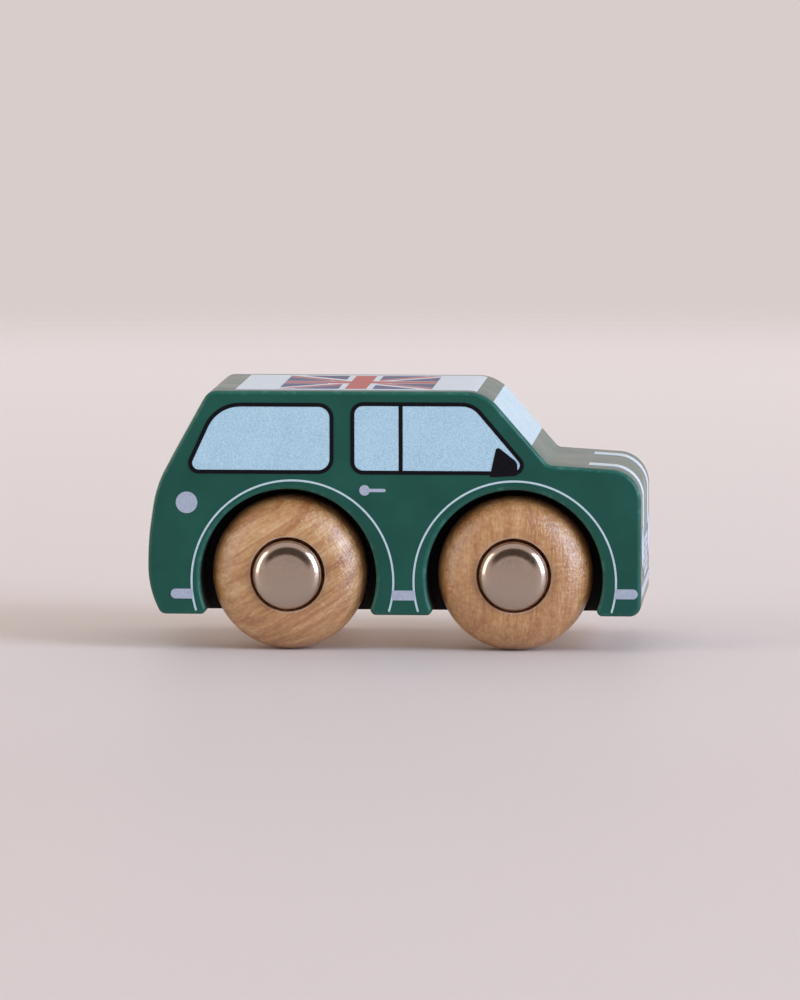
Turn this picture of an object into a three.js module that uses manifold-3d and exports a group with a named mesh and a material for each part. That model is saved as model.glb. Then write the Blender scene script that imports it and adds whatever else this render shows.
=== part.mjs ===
/**
 * A palm-sized wooden push car.
 *
 * One block, milled from the sides and painted, carries two steel axles in plain bores. Each axle has a
 * turned wooden wheel at either end, held on by a pressed hub cap with a toothed push nut crimped inside.
 *
 * Millimetres, +X forward, +Y to the car's left, +Z up, with the origin on the floor under the car's middle.
 */
import * as THREE from 'three';
import { mergeVertices } from 'three/addons/utils/BufferGeometryUtils.js';
import Module from 'manifold-3d';

const wasm = await Module();
wasm.setup();

// Axle
const AXLE_RADIUS = 2.0;
const AXLE_CHAMFER = 0.4;
const AXLE_SIDES = 20;
const BORE_CLEARANCE = 0.25;

// Hub cap, and the push nut inside it
const CAP_RADIUS = 5.25;
const CAP_HEIGHT = 4.2;
const CAP_WALL = 0.5;
const CAP_SHOULDER = 2.2;
const CAP_LIP = 1.1;
const CAP_STAND = 1.75;
const CAP_FLOAT = 0.3;
const CAP_SIDES = 24;
const SHOULDER_STEPS = 5;
const NUT_THICKNESS = 0.4;
const NUT_RIM = 1.1;
const NUT_DISH = 0.5;
const NUT_PLAY = 0.2;
const NUT_GRIP = 0.15;
const NUT_TEETH = 6;
const NUT_SLIT = 0.6;
const NUT_SIDES = 18;

// Wheel
const WHEEL_RADIUS = 11.85;
const WHEEL_WIDTH = 8.6;
const WHEEL_DOME = 5.0;
const WHEEL_BACK_ROUND = 1.2;
const FACE_LAND = 0.4;
const RECESS_CLEARANCE = 0.4;
const RECESS_BREAK = 0.25;
const BOSS_RADIUS = 5.0;
const BOSS_HEIGHT = 0.6;
const WHEEL_SIDES = 32;
const DOME_STEPS = 6;
const BACK_STEPS = 3;

// Body block: lengths along the side, heights over the floor, and what the cutter leaves
const BODY_WIDTH = 34;
const ARRIS = 0.7;
const ARRIS_STEPS = 3;
const ARCH_CLEARANCE = 2.0;
const ARCH_DROP = 0.95;
const ARCH_LIP = 1.1;
const POCKET_DEPTH = 8.6;
const POCKET_GAP = 0.3;
const REAR_LAND = 7.5;
const SILL_LAND = 6.7;
const FRONT_LAND = 5.4;
const GROUND_CLEARANCE = 5.55;
const SCUTTLE_OVER_ARCH = 3.85;
const CABIN_HEIGHT = 11.1;
const BONNET_LENGTH = 14.1;
const BONNET_FALL = THREE.MathUtils.degToRad(3.7);
const WINDSCREEN_LEAN = THREE.MathUtils.degToRad(41);
const TAILGATE_LEAN = THREE.MathUtils.degToRad(29);
const REAR_PANEL_LEAN = THREE.MathUtils.degToRad(8.4);
const TUCK_LEAN = THREE.MathUtils.degToRad(25);
const TUCK_HEIGHT = 4.1;
const WAIST_HEIGHT = 11.2;
const SHOULDER_DROP = 14.5;
const ROUND = {
  rearBottom: 1.3,
  frontBottom: 1.8,
  bonnet: 4.8,
  scuttle: 1.5,
  roofFront: 6.0,
  roofRear: 2.2,
  shoulder: 17,
  waist: 44,
  tuck: 14.5,
};
const ROUND_STEP = THREE.MathUtils.degToRad(11);
const CUT_MARGIN = 1;

// Finishes
const PAINT = new THREE.MeshStandardMaterial({ color: 0x235146, roughness: 0.5, metalness: 0 });
const BEECH = new THREE.MeshStandardMaterial({ color: 0xb78e6f, roughness: 0.6, metalness: 0 });
const NICKEL = new THREE.MeshStandardMaterial({ color: 0xb9aea4, roughness: 0.25, metalness: 1 });
const STEEL = new THREE.MeshStandardMaterial({ color: 0x8d8c8a, roughness: 0.4, metalness: 1 });

// The wheel's recess takes the cap, and the axle ends just short of the inside of the cap's crown.
const boreRadius = AXLE_RADIUS + BORE_CLEARANCE;
const recessRadius = CAP_RADIUS + RECESS_CLEARANCE;
const recessDepth = CAP_HEIGHT - CAP_STAND + CAP_FLOAT;
const pocketFloor = BODY_WIDTH / 2 - POCKET_DEPTH;
const wheelBack = pocketFloor + POCKET_GAP + BOSS_HEIGHT;
const wheelFace = wheelBack + WHEEL_WIDTH;
const capBase = wheelFace + CAP_STAND - CAP_HEIGHT;
const axleHalf = wheelFace + CAP_STAND - CAP_WALL - CAP_FLOAT;

// A wheel stands on one of its facets, so the axle is a facet's distance over the floor.
const axleHeight = WHEEL_RADIUS * Math.cos(Math.PI / WHEEL_SIDES);

// The block is as long as two arches and the three lands beside them.
const archRadius = WHEEL_RADIUS + ARCH_CLEARANCE;
const archHeight = axleHeight - ARCH_DROP;
const bodyLength = REAR_LAND + SILL_LAND + FRONT_LAND + 4 * archRadius;
const rearEnd = -bodyLength / 2;
const frontEnd = bodyLength / 2;
const rearAxle = rearEnd + REAR_LAND + archRadius;
const frontAxle = frontEnd - FRONT_LAND - archRadius;
const scuttleHeight = archHeight + archRadius + SCUTTLE_OVER_ARCH;
const roofHeight = scuttleHeight + CABIN_HEIGHT;

/** A closed three.js geometry as a manifold solid. */
function solidOf(geometry) {
  const bare = geometry.clone();
  bare.deleteAttribute('normal');
  bare.deleteAttribute('uv');
  const merged = mergeVertices(bare, 1e-4);
  const vertProperties = new Float32Array(merged.attributes.position.array);
  const triVerts = new Uint32Array(merged.index.array);
  return new wasm.Manifold(new wasm.Mesh({ numProp: 3, vertProperties, triVerts }));
}

/** A manifold solid as a three.js geometry. */
function geometryOf(solid) {
  const mesh = solid.getMesh();
  const geometry = new THREE.BufferGeometry();
  geometry.setAttribute('position', new THREE.BufferAttribute(mesh.vertProperties, 3));
  geometry.setIndex(new THREE.BufferAttribute(mesh.triVerts, 1));
  geometry.computeVertexNormals();
  return geometry;
}

/** Points on an arc from one angle to another, both ends included. */
function arc(x, y, radius, from, to, steps) {
  const points = [];
  for (let i = 0; i <= steps; i += 1) {
    const angle = from + ((to - from) * i) / steps;
    points.push(new THREE.Vector2(x + radius * Math.cos(angle), y + radius * Math.sin(angle)));
  }
  return points;
}

/** How many chords an arc of this sweep gets. */
function stepsFor(sweep) {
  return Math.max(2, Math.ceil(Math.abs(sweep) / ROUND_STEP));
}

/**
 * The rounded corners of a closed polygon, as one list of points for each corner. A round that its two sides
 * have no room for is drawn smaller.
 */
function roundCorners(corners) {
  const count = corners.length;
  const sides = corners.map(({ point }, i) => corners[(i + 1) % count].point.clone().sub(point));
  const turns = sides.map((side, i) => {
    const before = sides[(i + count - 1) % count];
    return Math.atan2(before.cross(side), before.dot(side));
  });
  const reach = corners.map(({ round }, i) => round * Math.tan(Math.abs(turns[i]) / 2));
  const room = sides.map((side, i) => Math.min(1, side.length() / (reach[i] + reach[(i + 1) % count])));
  return corners.map(({ point, round }, i) => {
    const fit = Math.min(room[i], room[(i + count - 1) % count]);
    const radius = round * fit;
    const start = sides[(i + count - 1) % count].clone().normalize();
    const inward = new THREE.Vector2(-start.y, start.x).multiplyScalar(Math.sign(turns[i]));
    const centre = point.clone().addScaledVector(start, -reach[i] * fit).addScaledVector(inward, radius);
    const from = Math.atan2(-inward.y, -inward.x);
    return arc(centre.x, centre.y, radius, from, from + turns[i], stepsFor(turns[i]));
  });
}

/** The mouth of a wheel arch from one rounded lip over the crown to the other, along +X. */
function archMouth(x) {
  const lipHeight = GROUND_CLEARANCE + ARCH_LIP;
  const rise = archHeight - lipHeight;
  const lipReach = Math.sqrt((archRadius + ARCH_LIP) ** 2 - rise ** 2);
  const lean = Math.atan2(rise, lipReach);
  const lipSteps = stepsFor(Math.PI / 4);
  const crownSteps = stepsFor(Math.PI + 2 * lean);
  const rearLip = arc(x - lipReach, lipHeight, ARCH_LIP, -Math.PI / 2, lean, lipSteps);
  const crown = arc(x, archHeight, archRadius, Math.PI + lean, -lean, crownSteps);
  const frontLip = arc(x + lipReach, lipHeight, ARCH_LIP, Math.PI - lean, (3 * Math.PI) / 2, lipSteps);
  return [...rearLip, ...crown.slice(1, -1), ...frontLip];
}

/** A flat outline in X and Z, extruded across the car and centred on its middle plane. */
function acrossCar(points, width, arris, arrisSteps) {
  const depth = width - 2 * arris;
  const geometry = new THREE.ExtrudeGeometry(new THREE.Shape(points), {
    depth,
    bevelEnabled: arris > 0,
    bevelThickness: arris,
    bevelSize: arris,
    bevelOffset: -arris,
    bevelSegments: arrisSteps,
  });
  return geometry.translate(0, 0, -depth / 2).rotateX(Math.PI / 2);
}

/** The side view of the block, from the rear lower corner along the underside and round. */
function sideOutline() {
  const bonnetFront = scuttleHeight - BONNET_LENGTH * Math.tan(BONNET_FALL);
  const scuttle = frontEnd - BONNET_LENGTH;
  const roofFront = scuttle - CABIN_HEIGHT * Math.tan(WINDSCREEN_LEAN);
  const waistHeight = GROUND_CLEARANCE + WAIST_HEIGHT;
  const shoulderHeight = roofHeight - SHOULDER_DROP;
  const shoulder = rearEnd + (shoulderHeight - waistHeight) * Math.tan(REAR_PANEL_LEAN);
  const roofRear = shoulder + SHOULDER_DROP * Math.tan(TAILGATE_LEAN);
  const rearBottom = rearEnd + TUCK_HEIGHT * Math.tan(TUCK_LEAN);
  const corner = (x, z, round) => ({ point: new THREE.Vector2(x, z), round });
  const [rearCorner, ...others] = roundCorners([
    corner(rearBottom, GROUND_CLEARANCE, ROUND.rearBottom),
    corner(frontEnd, GROUND_CLEARANCE, ROUND.frontBottom),
    corner(frontEnd, bonnetFront, ROUND.bonnet),
    corner(scuttle, scuttleHeight, ROUND.scuttle),
    corner(roofFront, roofHeight, ROUND.roofFront),
    corner(roofRear, roofHeight, ROUND.roofRear),
    corner(shoulder, shoulderHeight, ROUND.shoulder),
    corner(rearEnd, waistHeight, ROUND.waist),
    corner(rearEnd, GROUND_CLEARANCE + TUCK_HEIGHT, ROUND.tuck),
  ]);
  return [...rearCorner, ...archMouth(rearAxle), ...archMouth(frontAxle), ...others.flat()];
}

/** The wood left standing between a pair of wheel pockets, flush with the underside. */
function pocketCore(x) {
  const radius = archRadius + ARCH_LIP + CUT_MARGIN;
  const dip = Math.asin((archHeight - GROUND_CLEARANCE) / radius);
  const points = arc(x, archHeight, radius, -dip, Math.PI + dip, stepsFor(Math.PI));
  return acrossCar(points, 2 * pocketFloor, 0, 0);
}

/** The milled block: blind wheel arches in both sides, and a plain bore for each axle. */
function bodyBlock() {
  let block = solidOf(acrossCar(sideOutline(), BODY_WIDTH, ARRIS, ARRIS_STEPS));
  for (const x of [rearAxle, frontAxle]) {
    const bore = new THREE.CylinderGeometry(boreRadius, boreRadius, BODY_WIDTH, AXLE_SIDES);
    block = block.add(solidOf(pocketCore(x)));
    block = block.subtract(solidOf(bore.translate(x, 0, axleHeight)));
  }
  return geometryOf(block);
}

/** A profile of radius and height, turned about the axle's own line. */
function turned(profile, sides) {
  const points = profile.map(([radius, height]) => new THREE.Vector2(radius, height));
  return new THREE.LatheGeometry(points, sides);
}

/** A round of a profile, as pairs of radius and height. */
function turnedRound(radius, height, size, from, to, steps) {
  return arc(radius, height, size, from, to, steps).map(({ x, y }) => [x, y]);
}

/** A plain steel rod with chamfered ends. */
function axleRod() {
  return turned([
    [0, -axleHalf],
    [AXLE_RADIUS - AXLE_CHAMFER, -axleHalf],
    [AXLE_RADIUS, -axleHalf + AXLE_CHAMFER],
    [AXLE_RADIUS, axleHalf - AXLE_CHAMFER],
    [AXLE_RADIUS - AXLE_CHAMFER, axleHalf],
    [0, axleHalf],
  ], AXLE_SIDES);
}

/** A wheel with a boss behind, a flat tread, and a face that domes up to the recess for the cap. */
function wheel() {
  const recessFloor = WHEEL_WIDTH - recessDepth;
  const domeStart = recessRadius + FACE_LAND + RECESS_BREAK;
  const domeBase = WHEEL_WIDTH - WHEEL_DOME;
  const backRound = turnedRound(WHEEL_RADIUS - WHEEL_BACK_ROUND, WHEEL_BACK_ROUND, WHEEL_BACK_ROUND,
    -Math.PI / 2, 0, BACK_STEPS);
  const dome = turnedRound(0, 0, 1, 0, Math.PI / 2, DOME_STEPS).map(([out, up]) => [
    domeStart + out * (WHEEL_RADIUS - domeStart),
    domeBase + up * WHEEL_DOME,
  ]);
  const boreMouth = [boreRadius, -BOSS_HEIGHT];
  const geometry = turned([
    boreMouth,
    [BOSS_RADIUS, -BOSS_HEIGHT],
    [BOSS_RADIUS, 0],
    ...backRound,
    ...dome,
    [recessRadius + RECESS_BREAK, WHEEL_WIDTH],
    [recessRadius, WHEEL_WIDTH - RECESS_BREAK],
    [recessRadius, recessFloor],
    [boreRadius, recessFloor],
    boreMouth,
  ], WHEEL_SIDES);
  return geometry.rotateY(Math.PI / WHEEL_SIDES);
}

/** A drawn cup with a rounded crown, its rim turned in under the push nut. */
function hubCap() {
  const inside = CAP_RADIUS - CAP_WALL;
  const insideRound = CAP_SHOULDER - CAP_WALL;
  const shoulderHeight = CAP_HEIGHT - CAP_SHOULDER;
  return turned([
    [0, CAP_HEIGHT - CAP_WALL],
    ...turnedRound(inside - insideRound, shoulderHeight, insideRound, Math.PI / 2, 0, SHOULDER_STEPS),
    [inside, CAP_WALL],
    [inside - CAP_LIP, CAP_WALL],
    [inside - CAP_LIP, 0],
    [CAP_RADIUS, 0],
    ...turnedRound(CAP_RADIUS - CAP_SHOULDER, shoulderHeight, CAP_SHOULDER, 0, Math.PI / 2, SHOULDER_STEPS),
    [0, CAP_HEIGHT],
  ], CAP_SIDES);
}

/** A dished washer, slit into teeth that point out along the axle and let it in one way only. */
function pushNut() {
  const rim = CAP_RADIUS - CAP_WALL - NUT_PLAY;
  const root = rim - NUT_RIM;
  const tip = AXLE_RADIUS + NUT_GRIP;
  const rimStart = [rim, 0];
  const washer = turned([
    rimStart,
    [rim, NUT_THICKNESS],
    [root, NUT_THICKNESS],
    [tip, NUT_THICKNESS + NUT_DISH],
    [tip, NUT_DISH],
    [root, 0],
    rimStart,
  ], NUT_SIDES);
  let nut = solidOf(washer);
  const slitHeight = NUT_THICKNESS + NUT_DISH + CUT_MARGIN;
  for (let i = 0; i < NUT_TEETH; i += 1) {
    const slit = new THREE.BoxGeometry(root, 2 * slitHeight, NUT_SLIT).translate(root / 2, 0, 0);
    nut = nut.subtract(solidOf(slit.rotateY((2 * Math.PI * i) / NUT_TEETH)));
  }
  return geometryOf(nut);
}

/** A named mesh, placed along its own axle line. */
function piece(name, geometry, material, along = 0) {
  const mesh = new THREE.Mesh(geometry, material);
  mesh.name = name;
  mesh.position.y = along;
  return mesh;
}

const wheelShape = wheel();
const capShape = hubCap();
const nutShape = pushNut();
const axleShape = axleRod();

/** What one end of an axle carries. The right-hand end is the left-hand one turned over. */
function axleEnd(place, side) {
  const end = new THREE.Group();
  end.add(
    piece(`wheel_${place}_${side}`, wheelShape, BEECH, wheelBack),
    piece(`hub_cap_${place}_${side}`, capShape, NICKEL, capBase),
    piece(`push_nut_${place}_${side}`, nutShape, STEEL, capBase + CAP_WALL + NUT_PLAY),
  );
  end.rotation.x = side === 'right' ? Math.PI : 0;
  return end;
}

/** An axle with everything on it. */
function axleSet(place, x) {
  const set = new THREE.Group();
  set.add(piece(`axle_${place}`, axleShape, STEEL), axleEnd(place, 'left'), axleEnd(place, 'right'));
  set.position.set(x, 0, axleHeight);
  return set;
}

const car = new THREE.Group();
car.add(piece('body_block', bodyBlock(), PAINT), axleSet('rear', rearAxle), axleSet('front', frontAxle));

export default car;
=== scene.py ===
"""Looks of a palm-sized wooden push car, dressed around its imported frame.

The block, the turned wheels, the pressed caps and the axle rods are numpy surfaces worked out in millimetres and
written to Blender in metres. What is printed on the block is ink: thin films that lie on its faces.
X runs forward along the car, Y to its left and Z up.
"""

import logging
import math
from dataclasses import dataclass
from enum import Enum
from typing import Any, Iterable, Sequence

import bmesh
import bpy
import numpy as np
from mathutils import Matrix, Vector


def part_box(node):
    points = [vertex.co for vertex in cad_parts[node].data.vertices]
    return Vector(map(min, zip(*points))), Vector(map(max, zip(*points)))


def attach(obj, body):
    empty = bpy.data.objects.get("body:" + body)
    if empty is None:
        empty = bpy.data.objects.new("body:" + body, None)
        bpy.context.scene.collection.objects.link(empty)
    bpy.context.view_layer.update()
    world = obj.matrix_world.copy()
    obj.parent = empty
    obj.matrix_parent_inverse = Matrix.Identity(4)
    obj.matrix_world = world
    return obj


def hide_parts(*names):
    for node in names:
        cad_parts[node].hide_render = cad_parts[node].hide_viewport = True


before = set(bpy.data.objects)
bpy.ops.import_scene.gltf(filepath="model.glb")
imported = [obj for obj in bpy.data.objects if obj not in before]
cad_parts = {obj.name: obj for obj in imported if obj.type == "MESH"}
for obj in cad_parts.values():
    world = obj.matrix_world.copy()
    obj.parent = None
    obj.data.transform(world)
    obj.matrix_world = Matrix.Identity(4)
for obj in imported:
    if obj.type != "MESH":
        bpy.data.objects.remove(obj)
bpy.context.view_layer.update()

LOG = logging.getLogger("push_car")

MM = 0.001
IMAGE_HEIGHT = 1000
SENSOR = 36.0
CLIP_END = 10.0

# The largest steps of arcs, in radians, and along the block's outline, in mm; then the steps of a full turn.
ARC_STEP = math.radians(3.0)
FINE_STEP = math.radians(9.0)
SHOULDER_STEP = math.radians(5.0)
STRIP_STEP = 0.4
NEAR_STEP = 0.02
TURNS = 160
TABLE_TURNS = 96
TABLE_RINGS = 12

# Points that are this near to each other, in metres, are one, and an edge that bends by more than this is sharp.
WELD = 1e-7
SHARP = math.radians(32.0)

# The period of a wave texture at a scale of 1, and values that most and nearly all of a noise lie between.
WAVE_PERIOD = math.pi / 10
NOISE_SPAN = (0.35, 0.65)
WIDE_NOISE_SPAN = (0.3, 0.7)

# Heights over the paint, in mm, of a first, second and third coat of ink, and how far every film reaches into it.
COAT = 0.05
SECOND_COAT = 0.08
THIRD_COAT = 0.11
SUNK = 0.04

Pair = tuple[float, float]
Triple = tuple[float, float, float]
Inputs = dict[str | int, Any] | Sequence[Any]


class Side(Enum):
    """A side of the car; the value is the sign of Y there."""

    RIGHT = -1
    LEFT = 1


class End(Enum):
    """The end of the car that an axle is at, as the frame spells it."""

    REAR = "rear"
    FRONT = "front"


def node_name(piece: str, end: End, side: Side) -> str:
    """The frame's name for a piece that each of the four wheels has."""
    return f"{piece}_{end.value}_{side.name.lower()}"


def box_mm(node: str) -> tuple[np.ndarray, np.ndarray]:
    """A node's lowest and highest corners at rest, in millimetres."""
    low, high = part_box(node)
    return np.array(low) / MM, np.array(high) / MM


@dataclass(frozen=True)
class Curve:
    """A plane curve, in millimetres, with the outward normal at each of its points."""

    points: np.ndarray
    normals: np.ndarray

    def offset(self, distance: float) -> np.ndarray:
        """The points, each moved along its own normal by a distance."""
        return self.points + distance * self.normals


def joined(curves: Sequence[Curve]) -> Curve:
    """Several curves, end to end, as one."""
    return Curve(
        np.concatenate([curve.points for curve in curves]),
        np.concatenate([curve.normals for curve in curves]),
    )


def arc(centre: Sequence[float], radius: float, start: float, end: float, step: float = ARC_STEP) -> Curve:
    """An arc whose normal swings from one angle to another.

    Each point is the centre plus the radius times the normal, so that a negative radius gives a hollow arc, whose
    normals face its centre.

    Args:
        centre: The arc's centre.
        radius: Its radius, negative where it is hollow.
        start: The angle of the first normal, in radians.
        end: The angle of the last normal.
        step: The largest angle between two points.

    Returns:
        The arc's points and normals.
    """
    angles = np.linspace(start, end, max(2, math.ceil(abs(end - start) / step) + 1))
    normals = np.stack([np.cos(angles), np.sin(angles)], axis=1)
    return Curve(np.asarray(centre) + radius * normals, normals)


def rounded(corners: Sequence[Sequence[float]], step: float = FINE_STEP) -> list[Curve]:
    """One arc for each corner of an anticlockwise polygon.

    An arc touches both sides of its corner: it begins before the corner by its radius times the tangent of half
    the turn, and it shrinks where two neighbours need more length than the side between them has.

    Args:
        corners: The corners as (x, y, radius).
        step: The largest angle between two points of an arc.

    Returns:
        The arcs, in the corners' order.
    """
    table = np.array(corners, float)
    points, radii = table[:, :2], table[:, 2]
    after = np.roll(points, -1, axis=0) - points
    before = np.roll(after, 1, axis=0)
    cross = before[:, 0] * after[:, 1] - before[:, 1] * after[:, 0]
    turns = np.arctan2(cross, (before * after).sum(axis=1))
    reach = radii * np.tan(np.abs(turns) / 2)
    room = np.minimum(1.0, np.linalg.norm(after, axis=1) / (reach + np.roll(reach, -1)))
    fit = np.minimum(room, np.roll(room, 1))
    forward = before / np.linalg.norm(before, axis=1, keepdims=True)
    outward = np.stack([forward[:, 1], -forward[:, 0]], axis=1)
    signed = np.sign(turns) * radii * fit
    centres = points - forward * (reach * fit)[:, None] - outward * signed[:, None]
    begins = np.arctan2(outward[:, 1], outward[:, 0])
    return [arc(*each, step) for each in zip(centres, signed, begins, begins + turns)]


def rectangle(start: float, end: float, low: float, high: float) -> np.ndarray:
    """An upright rectangle's corners, anticlockwise from the lower one at its start."""
    return np.array([(start, low), (end, low), (end, high), (start, high)])


def rounded_bar(start: float, end: float, low: float, high: float, radii: Sequence[float]) -> np.ndarray:
    """The outline of an upright rectangle with a radius for each of its corners."""
    return joined(rounded(np.column_stack([rectangle(start, end, low, high), radii]))).points


def quads(rows: int, columns: int, close_rows: bool = False, close_columns: bool = False) -> np.ndarray:
    """The faces of a grid of points that is numbered row by row.

    Args:
        rows: How many rows the grid has.
        columns: How many points a row has.
        close_rows: Whether the last row joins the first.
        close_columns: Whether a row's last point joins its first.

    Returns:
        Four point numbers for each face, row by row.
    """
    r, c = np.meshgrid(
        np.arange(rows if close_rows else rows - 1),
        np.arange(columns if close_columns else columns - 1),
        indexing="ij",
    )
    below, right = (r + 1) % rows, (c + 1) % columns
    cells = [r * columns + c, r * columns + right, below * columns + right, below * columns + c]
    return np.stack(cells, axis=-1).reshape(-1, 4)


def across_car(flat: np.ndarray, y: np.ndarray | float) -> np.ndarray:
    """Points of the car's side view, set at their distances to the left of its middle plane."""
    x, z = flat[..., 0], flat[..., 1]
    return np.stack([x, np.broadcast_to(y, x.shape), z], axis=-1)


class Shell:
    """Patches of points and faces that are welded into one mesh."""

    def __init__(self) -> None:
        """An empty shell."""
        self.points: list[np.ndarray] = []
        self.faces: list[list[int]] = []
        self.finish: list[int] = []
        self.edge: list[np.ndarray] = []

    def add(
        self,
        points: np.ndarray,
        cells: np.ndarray,
        loops: Sequence[np.ndarray] = (),
        finish: np.ndarray | int = 0,
        edge: np.ndarray | float = 0.0,
    ) -> None:
        """Adds one patch.

        Args:
            points: The patch's points, in millimetres.
            cells: Its four-sided faces, by point number.
            loops: Its flat faces of many sides.
            finish: The number of the finish on each four-sided face, or on the whole patch.
            edge: How far each point lies on a rounded edge, from 0 to 1.
        """
        flat = points.reshape(-1, 3)
        first = sum(map(len, self.points))
        self.points.append(flat)
        self.edge.append(np.broadcast_to(np.asarray(edge, float).reshape(-1), (len(flat),)))
        self.faces += (cells + first).tolist()
        self.finish += np.broadcast_to(finish, (len(cells),)).tolist()
        self.faces += [(loop + first).tolist() for loop in loops]
        self.finish += [finish if isinstance(finish, int) else 0] * len(loops)

    def piece(
        self, name: str, finishes: Sequence["Finish"], body: str, slot: str, stands_for: Sequence[str] = ()
    ) -> None:
        """Makes the shell a piece of the car.

        Args:
            name: The piece's name.
            finishes: Its finishes, in the order that the patches number them.
            body: The body that it moves with.
            slot: The record's material slot for it; not used.
            stands_for: The frame's nodes that it is shown instead of.
        """
        mesh = bpy.data.meshes.new(name)
        mesh.from_pydata((np.concatenate(self.points) * MM).tolist(), [], self.faces)
        mesh.polygons.foreach_set("material_index", np.array(self.finish, np.int32))
        layer = mesh.attributes.new("edge", "FLOAT", "POINT")
        layer.data.foreach_set("value", np.concatenate(self.edge).astype(np.float32))
        welded = bmesh.new()
        welded.from_mesh(mesh)
        bmesh.ops.remove_doubles(welded, verts=welded.verts, dist=WELD)
        bmesh.ops.recalc_face_normals(welded, faces=welded.faces)
        welded.to_mesh(mesh)
        welded.free()
        mesh.polygons.foreach_set("use_smooth", np.ones(len(mesh.polygons), bool))
        mesh.set_sharp_from_angle(angle=SHARP)
        for finish in finishes:
            mesh.materials.append(finish.material())
        piece = bpy.data.objects.new(name, mesh)
        bpy.context.scene.collection.objects.link(piece)
        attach(piece, body)
        if stands_for:
            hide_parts(*stands_for)
        LOG.info("%s: %d faces, rides on %s", name, len(mesh.polygons), body)

    def films(self, name: str, *inks: "Finish") -> None:
        """Makes the shell a print on the block."""
        self.piece(name, inks, "body", "body_paint")


def linear(colour: str) -> tuple[float, float, float, float]:
    """An sRGB hex colour as linear red, green and blue, with full opacity."""
    srgb = np.array([int(colour[i : i + 2], 16) for i in (1, 3, 5)]) / 255
    light = np.where(srgb <= 0.04045, srgb / 12.92, ((srgb + 0.055) / 1.055) ** 2.4)
    return (*light.tolist(), 1.0)


def set_inputs(tree: bpy.types.NodeTree, node: bpy.types.Node, inputs: Inputs) -> None:
    """Gives a node's inputs what they take.

    Args:
        tree: The tree that the node is in.
        node: The node.
        inputs: A socket to link from or a value for each input, by its name or number, or for the first inputs.
    """
    for key, value in inputs.items() if isinstance(inputs, dict) else enumerate(inputs):
        if isinstance(value, bpy.types.NodeSocket):
            tree.links.new(value, node.inputs[key])
        else:
            node.inputs[key].default_value = value


def add_node(
    tree: bpy.types.NodeTree,
    kind: str,
    inputs: Inputs = (),
    output: str | int = 0,
    ramp: Iterable[tuple[float, str]] = (),
    **settings: Any,
) -> bpy.types.NodeSocket:
    """Adds a node with its settings and links.

    Args:
        tree: The tree that it joins.
        kind: The node's type, without the words that all types begin with.
        inputs: What its inputs take.
        output: The output that is wanted, by its name or number.
        ramp: A colour ramp's stops, as (place, hex colour).
        settings: The node's own properties.

    Returns:
        That output.
    """
    node = tree.nodes.new(f"ShaderNode{kind}")
    for key, value in settings.items():
        setattr(node, key, value)
    set_inputs(tree, node, inputs)
    for index, (place, colour) in enumerate(ramp):
        stops = node.color_ramp.elements
        stop = stops[index] if index < len(stops) else stops.new(place)
        stop.position, stop.color = place, linear(colour)
    return node.outputs[output]


def per_mm(size: float) -> float:
    """The texture scale at which a pattern's cells are this many millimetres across."""
    return 1.0 / (size * MM)


@dataclass(frozen=True)
class Finish:
    """A surface's material, which is made once and then shared."""

    name: str

    def material(self) -> bpy.types.Material:
        """The material of this name, made on the first call."""
        made = bpy.data.materials.get(self.name)
        if made is None:
            made = bpy.data.materials.new(self.name)
            made.use_nodes = True
            tree = made.node_tree
            self.dress(tree, tree.nodes["Principled BSDF"])
        return made

    def dress(self, tree: bpy.types.NodeTree, shader: bpy.types.Node) -> None:
        """Adds the finish's own nodes; each kind of finish has its own."""
        raise NotImplementedError


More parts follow.
